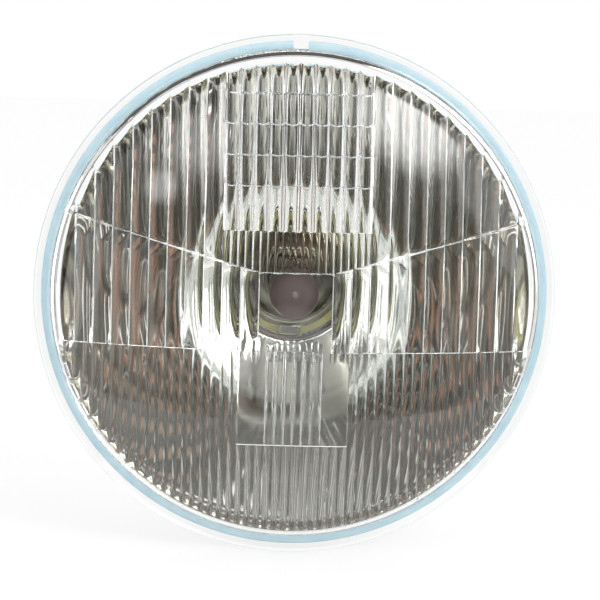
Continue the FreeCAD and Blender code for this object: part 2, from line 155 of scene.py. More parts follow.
# Foot of the bulb, its holder and its retainer; shells of one piece sink into each other by OVERLAP
OVERLAP = 0.4
PLATE_EDGE = 0.3
COLLAR_RADIUS = 18.9
COLLAR_FRONT, COLLAR_REAR = 53.9, 57.5
COLLAR_DISH = 1.4
COLLAR_FILLET = 1.2
SLEEVE_RADIUS = 9.6
SLEEVE_FRONT = 46.3
SLEEVE_BORE = 8.4
SLEEVE_LIP = 0.4
BEAD_RADIUS = 16.6
BEAD_HALF = 1.2
BEAD_HEIGHT = 0.9
LUG_RADIUS = 21.5
LUG_HALF = math.radians(10)
LUG_EDGE = 0.25
BULB_SEAT = 56.3
KEY_HALF = 4.0
KEY_FRONT = 53.2
KEY_DEPTH = 1.6
KEY_CORNER, KEY_EDGE = 0.9, 0.6
KEY_GAP = 0.3
HOLDER_FRONT = 55.1
HOLDER_RADIUS = 28.6
HOLDER_HALF = 10.4
HOLDER_HOLE = 19.0
HOLDER_CORNER = 2.0
HOOK_HALF = 5.0
HOOK_LIP, HOOK_END = 59.3, 60.5
HOOK_REACH = 24.5
HOOK_WALL = 1.2
HOOK_CORNER = 0.5
RETAINER_FRONT, RETAINER_REAR = 57.8, 59.0
RETAINER_RADIUS = 22.4
RETAINER_TIP, RETAINER_ROOT = 26.5, 23.3
RETAINER_SIDE = -3.5
RETAINER_LUG = 8.0
RETAINER_CORNER = 0.9
RETAINER_OPENING = 17.9
OPENING_CORNER = 4.0
GRIP_FRONT, GRIP_REAR = -21.2, -20.0
GRIP_HALF = 4.5
GRIP_END = 65.0
GRIP_TAPER = 1.0
GRIP_CORNER, GRIP_EDGE = 1.2, 0.35

# Base and its blades, which stand at these turns in degrees
BASE_RADIUS = 13.0
BASE_REAR = 70.3
BASE_FLATS = 12
BASE_EDGE = 0.8
BOSS_WALL = 0.9
BOSS_ROOT, BOSS_HEIGHT = 0.5, 1.0
BOSS_CORNER = 0.6
BLADE_TURNS = {"main": 90, "dip": -90, "ground": 180}
BLADE_FOOT, BLADE_END = 65.3, 86.3
BLADE_HALF = 4.0
BLADE_GAUGE = 0.8
BLADE_OFFSET = 7.6
BLADE_CHAMFER = 1.5
BLADE_CORNER, BLADE_EDGE = 0.4, 0.15
BLADE_HOLE = 1.1
BLADE_CATCH = 5.5

# Finishes: the colours a surface wanders between, as light values, its range of roughness, the waves of its
# grain per metre and the height of its bumps in micrometres
GLASS = ([(0.975, 0.992, 0.985), (0.99, 0.998, 0.99)], (0.0, 0.004), 60, 3)
SEAL_BLUE = ([(0.56, 0.77, 0.88), (0.65, 0.84, 0.93)], (0.3, 0.42), 150, 30)
BLACK_PLASTIC = ([(0.022, 0.02, 0.019), (0.04, 0.036, 0.033)], (0.38, 0.58), 300, 30)
COAT_PAINT = ([(0.1, 0.071, 0.065), (0.122, 0.089, 0.081)], (0.42, 0.6), 260, 20)
METALS = {
    "bright_mirror": ([(0.88, 0.865, 0.83), (0.92, 0.905, 0.87)], (0.025, 0.055), 70, 1),
    "foot_metal": ([(0.27, 0.255, 0.22), (0.34, 0.325, 0.27), (0.38, 0.38, 0.29)], (0.1, 0.2), 130, 4),
    "passivated": ([(0.5, 0.46, 0.2), (0.6, 0.58, 0.28), (0.52, 0.56, 0.34)], (0.3, 0.45), 120, 20),
    "bright_zinc": ([(0.55, 0.56, 0.57), (0.68, 0.69, 0.69)], (0.26, 0.42), 140, 20),
    "nickel": ([(0.5, 0.48, 0.44), (0.64, 0.62, 0.58)], (0.25, 0.4), 400, 10),
    "tinned_brass": ([(0.6, 0.53, 0.34), (0.7, 0.66, 0.52), (0.72, 0.7, 0.62)], (0.25, 0.4), 200, 10),
    "tungsten": ([(0.12, 0.12, 0.125), (0.24, 0.24, 0.23)], (0.42, 0.6), 900, 10),
}
ROUGH_GRAIN, BUMP_GRAIN = 1.7, 2.5
NOISE_RANGE, RAMP_RANGE = (0.3, 0.7), (0.32, 0.68)
GLASS_IOR = 1.52
DULL_ZINC = ([(0.44, 0.445, 0.445), (0.475, 0.48, 0.475), (0.5, 0.5, 0.495)], (0.34, 0.5), 110, 10)
TURNING_MARKS = 260

# Coated tip: where its painted shade towards the rim and the painted highlight on its pip start and end off
# the axis, and their colours
COAT_SHADE_REACH, PAINTED_SHADE_COLOUR = (4.0, GLASS_RADIUS), (0.066, 0.04, 0.035)
PIP_HIGHLIGHT_REACH, PAINTED_HIGHLIGHT_COLOUR = (2.0, 0.3), (0.24, 0.175, 0.165)

# Lamps: degrees to the right and up as seen from the lens, size in metres, and brightness
LAMPS = {"key_light": (62, 18, 1.1, 1.5), "fill_light": (-60, 0, 0.9, 1.1)}
LAMP_AWAY = 1.3

# What the mirror looks back at: a pale tent, and in it dim things and windows round the camera. Each stands
# so far to the right and up and reaches so far, in degrees; then its solid share and its colour
TENT_GREY = (0.78, 0.77, 0.75)
TENT_AWAY = 1.5
TENT_HALF = math.radians(88)
CARD_AWAY, CARD_GAP = 1.2, 0.02
ROOM = {
    "dim_front": (1, 2, 37, 0.75, (0.035, 0.033, 0.028)),
    "dim_right": (30, 3, 15, 0.75, (0.012, 0.014, 0.014)),
    "dim_low_right": (30, -28, 17, 0.7, (0.2, 0.2, 0.2)),
    "dim_low_left": (-30, -28, 15, 0.7, (0.25, 0.25, 0.25)),
    "grey_above": (-2, 17, 14, 0.75, (0.1, 0.095, 0.085)),
    "dull_left": (-20, 6, 8, 0.6, (0.34, 0.25, 0.2)),
    "teal_low": (-13, -5, 5.5, 0.6, (0.085, 0.125, 0.118)),
    "warm_front": (5, 6, 6, 0.6, (0.46, 0.25, 0.185)),
    "pale_low": (0, -19, 12.5, 0.7, (0.9, 0.9, 0.9)),
    "dim_high": (-12, 53, 36, 0.8, (0.035, 0.033, 0.03)),
    "dim_high_left": (-46, 42, 19, 0.75, (0.03, 0.03, 0.028)),
    "dim_far_left": (-82, 4, 13, 0.75, (0.15, 0.15, 0.15)),
    "window": (32, 33, 15, 0.4, (10, 10, 10)),
    "window_left": (-23, 27, 10, 0.3, (4, 4, 4)),
    "small_window": (-30, 17, 5, 0.3, (6, 6, 6)),
}

# Floor and camera, in metres and degrees
FLOOR_FRONT, FLOOR_REACH = -0.1, 3.0
FLOOR_GAP = 0.0005
FLOOR_GREY = (0.92, 0.92, 0.92)
FLOOR_GLOW = 0.75
CAMERA_PLACE = (-1.5, 7.2)
CAMERA_AWAY = 0.9
CAMERA_TARGET = (0.0019, -0.004, -0.0015)
CAMERA_ROLL = math.radians(1.6)
CAMERA_LENS = 158.0


# Meshes

def new_object(name, data):
    made = bpy.data.objects.new(name, data)
    bpy.context.scene.collection.objects.link(made)
    return made


def mesh_object(name, points, faces, body="unit", smooth_angle=40, outwards=True):
    """Object from points in millimetres, smooth except at sharp edges, riding on a body."""
    mesh = bpy.data.meshes.new(name)
    mesh.from_pydata([tuple(c * MM for c in p) for p in points], [], faces)
    mesh.validate()
    mesh.shade_smooth()
    mesh.set_sharp_from_angle(angle=math.radians(smooth_angle))
    if outwards:
        face_outwards(mesh)
    piece = new_object(name, mesh)
    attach(piece, body)
    return piece


def face_outwards(mesh):
    work = bmesh.new()
    work.from_mesh(mesh)
    bmesh.ops.recalc_face_normals(work, faces=work.faces)
    work.to_mesh(mesh)
    work.free()


def lathe_rings(profile, turns, reshape=None):
    """Points of (radius, y) corners turned about the Y axis, at a number of even turns or at given angles."""
    if isinstance(turns, int):
        turns = [2 * math.pi * i / turns for i in range(turns)]
    points, rings = [], []
    for radius, y in profile:
        if radius == 0:
            rings.append([len(points)] * len(turns))
            points.append((0, y, 0))
            continue
        rings.append(list(range(len(points), len(points) + len(turns))))
        for turn in turns:
            reach = reshape(radius, turn) if reshape else radius
            points.append((reach * math.cos(turn), y, reach * math.sin(turn)))
    return points, rings


def strip(first, second, closed=True):
    """Faces between two rows of points."""
    faces = []
    count = len(first)
    for i in range(count if closed else count - 1):
        j = (i + 1) % count
        corners = [first[i], first[j], second[j], second[i]]
        face = [c for k, c in enumerate(corners) if c != corners[k - 1]]
        if len(face) > 2:
            faces.append(face)
    return faces


def walls(rings, looped=False, closed=True):
    """Faces from every ring to the next and, when looped, from the last to the first."""
    following = rings[1:] + rings[:1] if looped else rings[1:]
    return [face for first, second in zip(rings, following) for face in strip(first, second, closed)]


def lathe(name, profile, turns, reshape=None, **options):
    """Turned piece: the profile runs round its section once."""
    points, rings = lathe_rings(profile, turns, reshape)
    return mesh_object(name, points, walls(rings, looped=True), **options)


def arc(centre, radius, start, end, count):
    """Points of an arc in (radius, y), angles in degrees from the outward direction."""
    turns = np.radians(np.linspace(start, end, count))
    return [(centre[0] + radius * math.cos(t), centre[1] + radius * math.sin(t)) for t in turns]


def inside_loop(points, loop):
    """Which points lie inside a flat loop."""
    px, pz = points[:, :1], points[:, 1:]
    ax, az = loop[:, 0], loop[:, 1]
    bx, bz = np.roll(ax, -1), np.roll(az, -1)
    crosses = (az > pz) != (bz > pz)
    with np.errstate(divide="ignore", invalid="ignore"):
        hit = px < (bx - ax) * (pz - az) / (bz - az) + ax
    return np.sum(crosses & hit, axis=1) % 2 == 1


def fill(flat, outer, holes):
    """Triangles inside the outer loop and outside the holes; loops are numbers of points in a flat list."""
    tolerance = 1e-7
    loops = [outer] + holes
    ids = [i for loop in loops for i in loop]
    edges = []
    for loop in loops:
        start = len(edges)
        edges += [(start + k, start + (k + 1) % len(loop)) for k in range(len(loop))]
    corners = [Vector(flat[i]) for i in ids]
    found, _, triangles, origins, _, _ = delaunay_2d_cdt(corners, edges, [], 0, tolerance)
    place = np.array([tuple(v) for v in found])
    middles = np.array([place[list(t)].mean(axis=0) for t in triangles])
    keep = inside_loop(middles, np.array([flat[i] for i in outer]))
    for hole in holes:
        keep &= ~inside_loop(middles, np.array([flat[i] for i in hole]))
    source = [ids[o[0]] for o in origins]
    return [[source[i] for i in t] for t, kept in zip(triangles, keep) if kept]


# Pressed pieces: flat outlines with rounded corners and edges

def box(left, right, low, high):
    """Corners of a rectangle."""
    return [(left, low), (right, low), (right, high), (left, high)]


def rounded(corners, radius, steps=5):
    """Closed outline with every corner rounded."""
    outline = []
    for i, corner in enumerate(corners):
        here = Vector(corner)
        before = (Vector(corners[i - 1]) - here).normalized()
        after = (Vector(corners[(i + 1) % len(corners)]) - here).normalized()
        half = before.angle(after) / 2
        middle = here + (before + after).normalized() * radius / math.sin(half)
        first = here + before * radius / math.tan(half) - middle
        last = here + after * radius / math.tan(half) - middle
        for share in np.linspace(0, 1, steps):
            outline.append(tuple(middle + first.slerp(last, share).normalized() * radius))
    return outline


def circle(radius, count):
    return [(radius * math.cos(t), radius * math.sin(t)) for t in np.arange(count) * 2 * math.pi / count]


def inset(outline, distance):
    """The outline moved inwards, whichever way round it runs."""
    here = np.array(outline)
    along = np.roll(here, -1, axis=0) - here
    area = np.sum(here[:, 0] * np.roll(here[:, 1], -1) - here[:, 1] * np.roll(here[:, 0], -1))
    along /= np.linalg.norm(along, axis=1)[:, None] * np.sign(area)
    inwards = np.stack([-along[:, 1], along[:, 0]], axis=1)
    before = np.roll(inwards, 1, axis=0)
    mitre = (inwards + before) / (1 + np.sum(inwards * before, axis=1))[:, None]
    return [tuple(p) for p in here + mitre * distance]


def pressed(outline, low, high, edge, hole=None, axes=(0, 1, 2)):
    """Plate between two levels with rounded edges; axes say which way the outline and the levels lie."""
    part = 0.3 * edge
    levels = [(edge, low), (part, low + part), (0, low + edge)]
    levels += [(0, high - edge), (part, high - part), (edge, high)]
    flat, points, faces, ends = [], [], [], []
    for loop, side in ((outline, 1), (hole, -1)):
        if not loop:
            continue
        rings = []
        for moved, level in levels:
            ring = inset(loop, side * moved)
            rings.append(list(range(len(points), len(points) + len(ring))))
            flat += ring
            points += [tuple((u, level, v)[axis] for axis in axes) for u, v in ring]
        faces += walls(rings)
        ends.append((rings[0], rings[-1]))
    for end in (0, 1):
        faces += fill(flat, ends[0][end], [pair[end] for pair in ends[1:]])
    return points, faces


def spun(shell, degrees):
    """A shell turned about the optical axis."""
    c, s = math.cos(math.radians(degrees)), math.sin(math.radians(degrees))
    points, faces = shell
    return [(x * c + z * s, y, z * c - x * s) for x, y, z in points], faces


def thrice(shell):
    return [spun(shell, degrees) for degrees in THIRDS]


def thirds(corners):
    """An outline's corners repeated at every third of a turn."""
    return [(x * math.cos(t) + z * math.sin(t), z * math.cos(t) - x * math.sin(t))
            for t in np.radians(THIRDS) for x, z in corners]


def assembled(name, shells, body="unit"):
    """One piece from several closed shells."""
    points, faces = [], []
    for shell_points, shell_faces in shells:
        shift = len(points)
        points += shell_points
        faces += [[i + shift for i in face] for face in shell_faces]
    return mesh_object(name, points, faces, body)


# Lens: its inner face is a height over (x, z), built from zones of flutes

def chevron(x):
    return CHEVRON_FOOT + CHEVRON_SLOPE * np.maximum(np.abs(x) - CLEAR_HALF, 0)


def row_line(x, height):
    """A row's edge in the grid sags a little in every column."""
    across = (x / COLUMN - np.floor(x / COLUMN)) * 2 - 1
    return height - ROW_SAG * (1 - across ** 2)


def dome(x, z=0.0, wall=0.0):
    return DOME_CENTRE - np.sqrt((DOME_RADIUS - wall) ** 2 - x ** 2 - z ** 2)


def flutes(x, z, wall, pitch, sag, power=2.0, level=1.0):
    """Hollow flutes that follow the dome or lie in level steps; the outermost is flat beyond its middle."""
    last = math.floor(SKIRT_RADIUS / pitch)
    middle = (np.clip(np.floor(x / pitch), -last, last - 1) + 0.5) * pitch
    edge = (last - 0.5) * pitch
    across = (np.clip(x, -edge, edge) - middle) / (pitch / 2)
    return dome(level * middle + (1 - level) * x, z, wall) - sag * (1 - np.abs(across) ** power)


def grid(x, z):
    """Columns of the grid, in rows that lie flatter than the dome."""
    edges = [GRID_FOOT] + GRID_ROWS + [GRID_ROWS[-1] + ROW_HEIGHT]
    result = np.zeros_like(x)
    for low, high in zip(edges, edges[1:]):
        middle = (low + high) / 2
        inside = z >= (row_line(x, low) if low > GRID_FOOT else low)
        slope = middle / math.sqrt((DOME_RADIUS - WALL) ** 2 - middle ** 2)
        level = flutes(x, np.full_like(x, middle), WALL, COLUMN, COLUMN_SAG, FLAT_FLOOR)
        result = np.where(inside, level + ROW_TILT * slope * (z - middle), result)
    return result


def sharp_height(x, z):
    """Depth of the inner face, with sharp edges between flutes and zones."""
    across = np.abs(x)
    below = np.clip((chevron(x) - z) / RISER + 0.5, 0, 1)
    height = flutes(x, z, WALL + STEP * below, PITCH, FLUTE_SAG, level=FLUTE_LEVEL)
    lower = flutes(x, z, WALL + 2 * STEP, FINE, FINE_SAG, level=FINE_LEVEL)
    block = flutes(x, z, WALL + STEP, FINE, BLOCK_SAG, BLOCK_FLOOR)
    ripple = flutes(x, z, WALL + STEP, COLUMN / 2, RIPPLE_SAG)
    clear = dome(x, z, WALL)
    height = np.where((across < GRID_HALF) & (z > chevron(x)), ripple, height)
    height = np.where((across < GRID_HALF) & (z >= GRID_FOOT), grid(x, z), height)
    height = np.where((z < CHEVRON_FOOT) & (across < CLEAR_HALF), clear, height)
    height = np.where(z < BAND_BOTTOM, lower, height)
    in_block = (z < BAND_BOTTOM) & (z > BLOCK_BOTTOM)
    height = np.where(in_block & (across < PANE_HALF), clear, height)
    return np.where(in_block & (across < BLOCK_HALF), block, height)


def inner_height(x, z):
    """The inner face with every edge rounded a little, as pressed glass is."""
    taps = [(-1.0, 1), (-0.5, 4), (0.0, 6), (0.5, 4), (1.0, 1)]
    weight = sum(share for _, share in taps) ** 2
    total = np.zeros(np.broadcast(x, z).shape)
    for dx, wx in taps:
        for dz, wz in taps:
            total = total + wx * wz * sharp_height(x + dx * ROUNDING + 0 * z, z + dz * ROUNDING + 0 * x)
    return total / weight


def skirt_height(radius):
    return LENS_REAR - (SKIRT_RADIUS - radius) / math.tan(SKIRT_ANGLE)


def furthest(inside, low, high):
    """The last place from low to high that is still inside, found by halving."""
    halvings = 40
    for _ in range(halvings):
        middle = (low + high) / 2
        within = inside(middle)
        low, high = np.where(within, middle, low), np.where(within, high, middle)
    return low


def skirt_meets(x, side):
    """Height, above or below the middle, where each column of the inner face meets the skirt."""
    edge = np.sqrt(np.maximum(SKIRT_RADIUS ** 2 - x ** 2, 0))
    return side * furthest(lambda z: inner_height(x, side * z) > skirt_height(np.hypot(x, z)), 0 * x, edge)


def side_reach():
    """How far out the inner face reaches at mid height."""
    middle = np.zeros(1)
    return furthest(lambda x: inner_height(x, middle) > skirt_height(x), middle, middle + SKIRT_RADIUS)[0]


def column_lines():
    """Where the columns of points stand, across the lens."""
    reach = side_reach()
    count = math.ceil(SKIRT_RADIUS / FINE)
    columns = round(2 * GRID_HALF / COLUMN)
    edges = [k * FINE for k in range(-count, count + 1)]
    edges += [k * COLUMN / 2 for k in range(-columns, columns + 1)]
    lines = [edge + share * ROUNDING for edge in edges for share in SHARP_PLACES]
    lines += [(k + share) * FINE for k in range(-count, count) for share in FLUTE_PLACES]
    lines = [x for x in lines if abs(x) < reach - SKIRT_MARGIN]
    lines += [side * (reach - d) for side in (-1, 1) for d in SKIRT_PLACES]
    lines = sorted(lines)
    kept = [x for x, after in zip(lines, lines[1:]) if after - x > LEAST_GAP]
    return np.array(kept + [lines[-1]])


def height_lines(x, bottom, top):
    """Heights of the rows of points in every column, gathered at the edges between zones."""
    sharp = [share * ROUNDING for share in SHARP_PLACES]
    slanting = [share * RISER for share in RISER_PLACES]
    inner = np.abs(x) < GRID_HALF
    edge_top = skirt_meets(np.array([GRID_HALF]), 1)[0]
    edge_chevron = chevron(GRID_HALF)
    # Each edge: its height in every column, where points stand beside it, and the steps up to it
    keys = [(bottom, [0], 0), (np.full_like(x, BLOCK_BOTTOM), sharp, 7),
            (np.full_like(x, BAND_BOTTOM), sharp, 8), (chevron(x), slanting, 7)]
    for height in [GRID_FOOT] + GRID_ROWS:
        share = (height - edge_chevron) / (edge_top - edge_chevron)
        outside = chevron(x) + share * (top - chevron(x))
        line = row_line(x, height) if height > GRID_FOOT else np.full_like(x, height)
        keys.append((np.where(inner, line, outside), sharp, 4))
    keys.append((top, [0], 3))
    rows = []
    for line, beside, steps in keys:
        near = [line + offset for offset in beside]
        if rows:
            last = rows[-1]
            rows += [last + (near[0] - last) * i / steps for i in range(1, steps)]
        rows += near
    return np.maximum.accumulate(np.clip(np.array(rows), bottom, top), axis=0)


def outline_loop(faces):
    """The single closed loop of edges that only one face uses."""
    edges = dict.fromkeys(pair for face in faces for pair in zip(face, face[1:] + face[:1]))
    following = {a: b for a, b in edges if (b, a) not in edges}
    start = next(iter(following))
    loop = [start]
    while following[loop[-1]] != start:
        loop.append(following[loop[-1]])
    return loop


def inner_face():
    """Points and faces of the fluted face, without double points."""
    digits = 4
    x = column_lines()
    rows = height_lines(x, skirt_meets(x, -1), skirt_meets(x, 1))
    across = np.broadcast_to(x, rows.shape)
    depth = inner_height(across, rows)
    index = {}
    points = []
    ids = np.zeros(rows.shape, dtype=int)
    for j, i in np.ndindex(rows.shape):
        key = (i, round(rows[j, i], digits))
        if key not in index:
            index[key] = len(points)
            points.append((across[j, i], depth[j, i], rows[j, i]))
        ids[j, i] = index[key]
    return points, walls([list(row) for row in ids], closed=False)


def shoulder_corner():
    """Where the shoulder's slope would meet the dome if the corner weren't rounded."""
    forward = 0.0
    step = 0.001
    while True:
        radius = SHOULDER_RADIUS - forward * math.tan(SHOULDER_ANGLE)
        if dome(radius) > FLANGE_FRONT - forward:
            return np.array([radius, FLANGE_FRONT - forward])
        forward += step


def lens_front():
    """Profile of the lens from the skirt's foot round the flange and shoulder to the middle."""
    edge, foot = FLANGE_EDGE, SHOULDER_FOOT
    slope = np.array([math.sin(SHOULDER_ANGLE), math.cos(SHOULDER_ANGLE)])
    profile = [(SKIRT_RADIUS, LENS_REAR)]
    profile += arc((LENS_RADIUS - edge, LENS_REAR - edge), edge, 90, 0, 6)
    profile += arc((LENS_RADIUS - edge, FLANGE_FRONT + edge), edge, 0, -90, 6)
    profile += [(SHOULDER_RADIUS + foot, FLANGE_FRONT),
                (SHOULDER_RADIUS + 0.35 * foot, FLANGE_FRONT - 0.2 * foot),
                (SHOULDER_RADIUS - slope[0] * foot, FLANGE_FRONT - slope[1] * foot)]
    corner = shoulder_corner()
    start = corner + slope * SHOULDER_BLEND
    inner = corner[0] - SHOULDER_BLEND
    end = np.array([inner, dome(inner)])
    for t in np.linspace(0, 1, 12):
        profile.append(tuple((1 - t) ** 2 * start + 2 * t * (1 - t) * corner + t ** 2 * end))
    return profile + [(radius, dome(radius)) for radius in np.linspace(inner, 0, 34)[1:]]


def make_lens():
    """Fluted inner face and turned outside in one piece of glass, which casts no shadow."""
    points, faces = inner_face()
    loop = outline_loop(faces)
    turned, rings = lathe_rings(lens_front(), LENS_TURN)
    offset = len(points)
    points += turned
    rings = [[i + offset for i in ring] for ring in rings]
    faces += fill([(x, z) for x, _, z in points], rings[0], [loop]) + walls(rings)
    piece = mesh_object("lens_glass", points, faces, smooth_angle=38)
    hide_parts("lens")
    piece.visible_shadow = False
    return piece


# Reflector and seal

def bowl(radius, focal):
    return VERTEX - FOCAL + focal - radius ** 2 / (4 * focal)


def turns_with(count, edges):
    """Even angles round the axis with a close pair at every edge of a notch."""
    sharp = math.radians(0.03)
    turns = [2 * math.pi * i / count for i in range(count)]
    return sorted(turns + [edge + side * sharp for edge in edges for side in (-1, 1)])


def make_reflector():
    """Pressed bowl with a notched flat flange and a flat seat for the bulb, slotted for the bulb's key."""
    outer = FOCAL + SHEET
    outer_rim = math.sqrt(4 * outer * (VERTEX + SHEET))
    outer_neck = math.sqrt(4 * outer * (NECK_RADIUS ** 2 / (4 * FOCAL)))
    seat = bowl(NECK_RADIUS, FOCAL)
    profile = [(SEAT_HOLE, seat + SHEET), (SEAT_HOLE, seat + SEAT_EDGE), (SEAT_HOLE + SEAT_EDGE, seat)]
    profile += [(r, bowl(r, FOCAL)) for r in np.linspace(NECK_RADIUS, BOWL_RADIUS, BOWL_STEPS)]
    profile += [(RIM_RADIUS, -SHEET), (RIM_RADIUS, 0)]
    profile += [(r, bowl(r, outer)) for r in np.linspace(outer_rim, outer_neck, BOWL_STEPS)]
    slot = math.asin((KEY_HALF + KEY_GAP) / LUG_RADIUS)

    def cut(radius, turn):
        if abs(turn - TOP) < NOTCH_TURN and radius == RIM_RADIUS:
            return NOTCH_FLOOR
        if abs(turn - BOTTOM) < slot and radius < NECK_RADIUS:
            return radius + LUG_RADIUS + KEY_GAP - SEAT_HOLE
        return radius

    turns = turns_with(BOWL_TURN, (TOP - NOTCH_TURN, TOP + NOTCH_TURN, BOTTOM - slot, BOTTOM + slot))
    piece = lathe("reflector_bowl", profile, turns, cut, smooth_angle=30)
    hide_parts("reflector")
    return piece


def make_seal():
    """Crowned sealing bead, open at the notch and drawn back from the lens beside it."""
    middle, half = (RIM_RADIUS + SEAL_INNER) / 2, (RIM_RADIUS - SEAL_INNER) / 2
    foot = -SHEET - SEAL_SIDE
    profile = [(RIM_RADIUS, -SHEET)]
    for t in np.linspace(0, math.pi, 15):
        profile.append((middle + half * math.cos(t), foot - SEAL_CROWN * math.sin(t) ** SEAL_CURVE))
    profile.append((SEAL_INNER, -SHEET))

    def drawn_back(radius, turn):
        beside = 1 - (turn - TOP - NOTCH_TURN) / SEAL_DRAWN_TURN
        share = (RIM_RADIUS - radius) / (RIM_RADIUS - SEAL_INNER)
        return radius + SEAL_DRAWN * max(beside, 0) ** DRAWN_CURVE * share

    turns = np.linspace(TOP + NOTCH_TURN, TOP - NOTCH_TURN + 2 * math.pi, SEAL_TURN)
    points, rings = lathe_rings(profile, turns, drawn_back)
    faces = walls(rings, looped=True, closed=False)
    faces += [[ring[0] for ring in rings], [ring[-1] for ring in rings]]
    piece = mesh_object("seal_bead", points, faces, smooth_angle=50)
    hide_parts("lens_seal")
    return piece


# Bulb

def bulb_profile(inwards):
    """Outside of the bulb's glass from its foot to the drawn-out pip at its tip, moved inwards."""
    radius = GLASS_RADIUS - inwards
    shoulder = GLASS_TIP + TIP_DEPTH
    end = GLASS_TIP + PIP[-1][1] + inwards
    profile = [(radius, y) for y in np.linspace(GLASS_FOOT, shoulder, 10)]
    for turn in np.radians(np.linspace(0, 90, 14))[1:]:
        reach = PIP_FOOT + (radius - PIP_FOOT) * math.cos(turn) ** TIP_CURVE
        profile.append((reach, shoulder - (shoulder - end) * math.sin(turn)))
    return profile + [(r, end - height) for r, height in PIP]


def make_envelope():
    """Clear tube with a closed foot; its hollow ends at the pinch."""
    outside = [(0, GLASS_FOOT)] + bulb_profile(0)
    inside = [(r, y) for r, y in bulb_profile(GLASS_WALL) if y < PINCH]
    inside = [(0, PINCH), (GLASS_RADIUS - GLASS_WALL, PINCH)] + inside
    points, rings = lathe_rings(outside, GLASS_TURN)
    hollow_points, hollow_rings = lathe_rings(inside, GLASS_TURN)
    faces = walls(rings)
    faces += [[i + len(points) for i in reversed(face)] for face in walls(hollow_rings)]
    piece = mesh_object("bulb_envelope", points + hollow_points, faces, smooth_angle=50, outwards=False)
    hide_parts("bulb_glass")
    return piece


def make_coat():
    """Dull coat over the bulb's tip."""
    outer = [(r, y) for r, y in bulb_profile(-COAT) if y < COAT_END]
    inner = [(r, y) for r, y in bulb_profile(-COAT / 3) if y < COAT_END]
    piece = lathe("bulb_coat", outer + inner[::-1], GLASS_TURN, smooth_angle=60)
    return piece


def tube(name, path, radius, sides=10):
    """Round wire along a path of points in millimetres."""
    path = [Vector(p) for p in path]
    points, rings = [], []
    normal = None
    for i, here in enumerate(path):
        along = (path[min(i + 1, len(path) - 1)] - path[max(i - 1, 0)]).normalized()
        if normal is None:
            normal = along.orthogonal().normalized()
        normal = (normal - along * normal.dot(along)).normalized()
        other = along.cross(normal)
        rings.append(list(range(len(points), len(points) + sides)))
        for k in range(sides):
            turn = 2 * math.pi * k / sides
            points.append(tuple(here + (normal * math.cos(turn) + other * math.sin(turn)) * radius))
    faces = walls(rings) + [rings[0][::-1], rings[-1]]
    return mesh_object(name, points, faces, smooth_angle=50, outwards=False)


def make_coil(name, node, front, rear):
    """Close-wound filament with a straight tail at each end."""
    reach = FILAMENT_RADIUS - COIL_WIRE
    steps = 14 * COIL_TURNS
    turns = np.linspace(0, 2 * math.pi * COIL_TURNS, steps)
    depths = np.linspace(front + COIL_TAIL, rear - COIL_TAIL, steps)
    wound = [(reach * math.cos(t), y, reach * math.sin(t)) for t, y in zip(turns, depths)]
    piece = tube(name, [(0, front, 0)] + wound + [(0, rear, 0)], COIL_WIRE, 6)
    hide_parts(node)
    return piece


def make_lead(name, node, end, angle):
    """Round wire from the pinch, bent over to the end of a filament on the axis."""
    path = [(LEAD_REACH, y) for y in np.linspace(LEAD_FOOT, end + LEAD_BEND, 8)]
    path += arc((LEAD_REACH - LEAD_BEND, end + LEAD_BEND), LEAD_BEND, 0, -90, 8)[1:]
    path.append((LEAD_TIP, end))
    turn = math.radians(angle)
    points = [(reach * math.sin(turn), y, reach * math.cos(turn)) for reach, y in path]
    piece = tube(name, points, LEAD_GAUGE / 2)
    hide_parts(node)
    return piece


def make_shield():
    """Half-round shield beside the dip filament."""
    turns = np.radians(np.linspace(*SHIELD_ARC, 25))
    half, count = len(turns), 2 * len(turns)
    section = [(SHIELD_RADIUS, t) for t in turns] + [(SHIELD_RADIUS - SHIELD_WALL, t) for t in turns[::-1]]
    depths = np.linspace(SHIELD_FRONT, SHIELD_REAR, 6)
    points = [(r * math.cos(t), y, r * math.sin(t)) for y in depths for r, t in section]
    rings = [list(range(start, start + count)) for start in range(0, len(points), count)]
    faces = walls(rings)
    for ring in (rings[0][::-1], rings[-1]):
        faces += strip(ring[:half], ring[::-1][:half], closed=False)
    piece = mesh_object("filament_shield", points, faces)
    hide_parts("dip_shield")
    return piece


# Foot of the bulb, holder, retainer and base

def sector(inner, outer, half):
    """Outline of a lug at the bottom, between two radii."""
    turns = np.linspace(-half, half, 7)
    outline = [(outer * math.sin(t), -outer * math.cos(t)) for t in turns]
    return outline + [(inner * math.sin(t), -inner * math.cos(t)) for t in turns[::-1]]


def collar_profile():
    """Section of the sleeve and the dished disc with its rolled bead."""
    dish = COLLAR_FRONT + COLLAR_DISH
    flat = COLLAR_FRONT + BEAD_HEIGHT
    profile = [(SLEEVE_BORE, COLLAR_REAR), (SLEEVE_BORE, SLEEVE_FRONT + SLEEVE_LIP),
               (SLEEVE_BORE + PLATE_EDGE, SLEEVE_FRONT), (SLEEVE_RADIUS - PLATE_EDGE, SLEEVE_FRONT),
               (SLEEVE_RADIUS, SLEEVE_FRONT + SLEEVE_LIP), (SLEEVE_RADIUS, dish - COLLAR_FILLET),
               (SLEEVE_RADIUS + COLLAR_FILLET / 3, dish - COLLAR_FILLET / 4),
               (SLEEVE_RADIUS + COLLAR_FILLET, dish)]
    for t in np.radians(np.linspace(180, 0, 13)):
        profile.append((BEAD_RADIUS + BEAD_HALF * math.cos(t), flat - BEAD_HEIGHT * math.sin(t)))
    return profile + [(COLLAR_RADIUS - PLATE_EDGE, flat), (COLLAR_RADIUS, flat + PLATE_EDGE),
                      (COLLAR_RADIUS, COLLAR_REAR)]


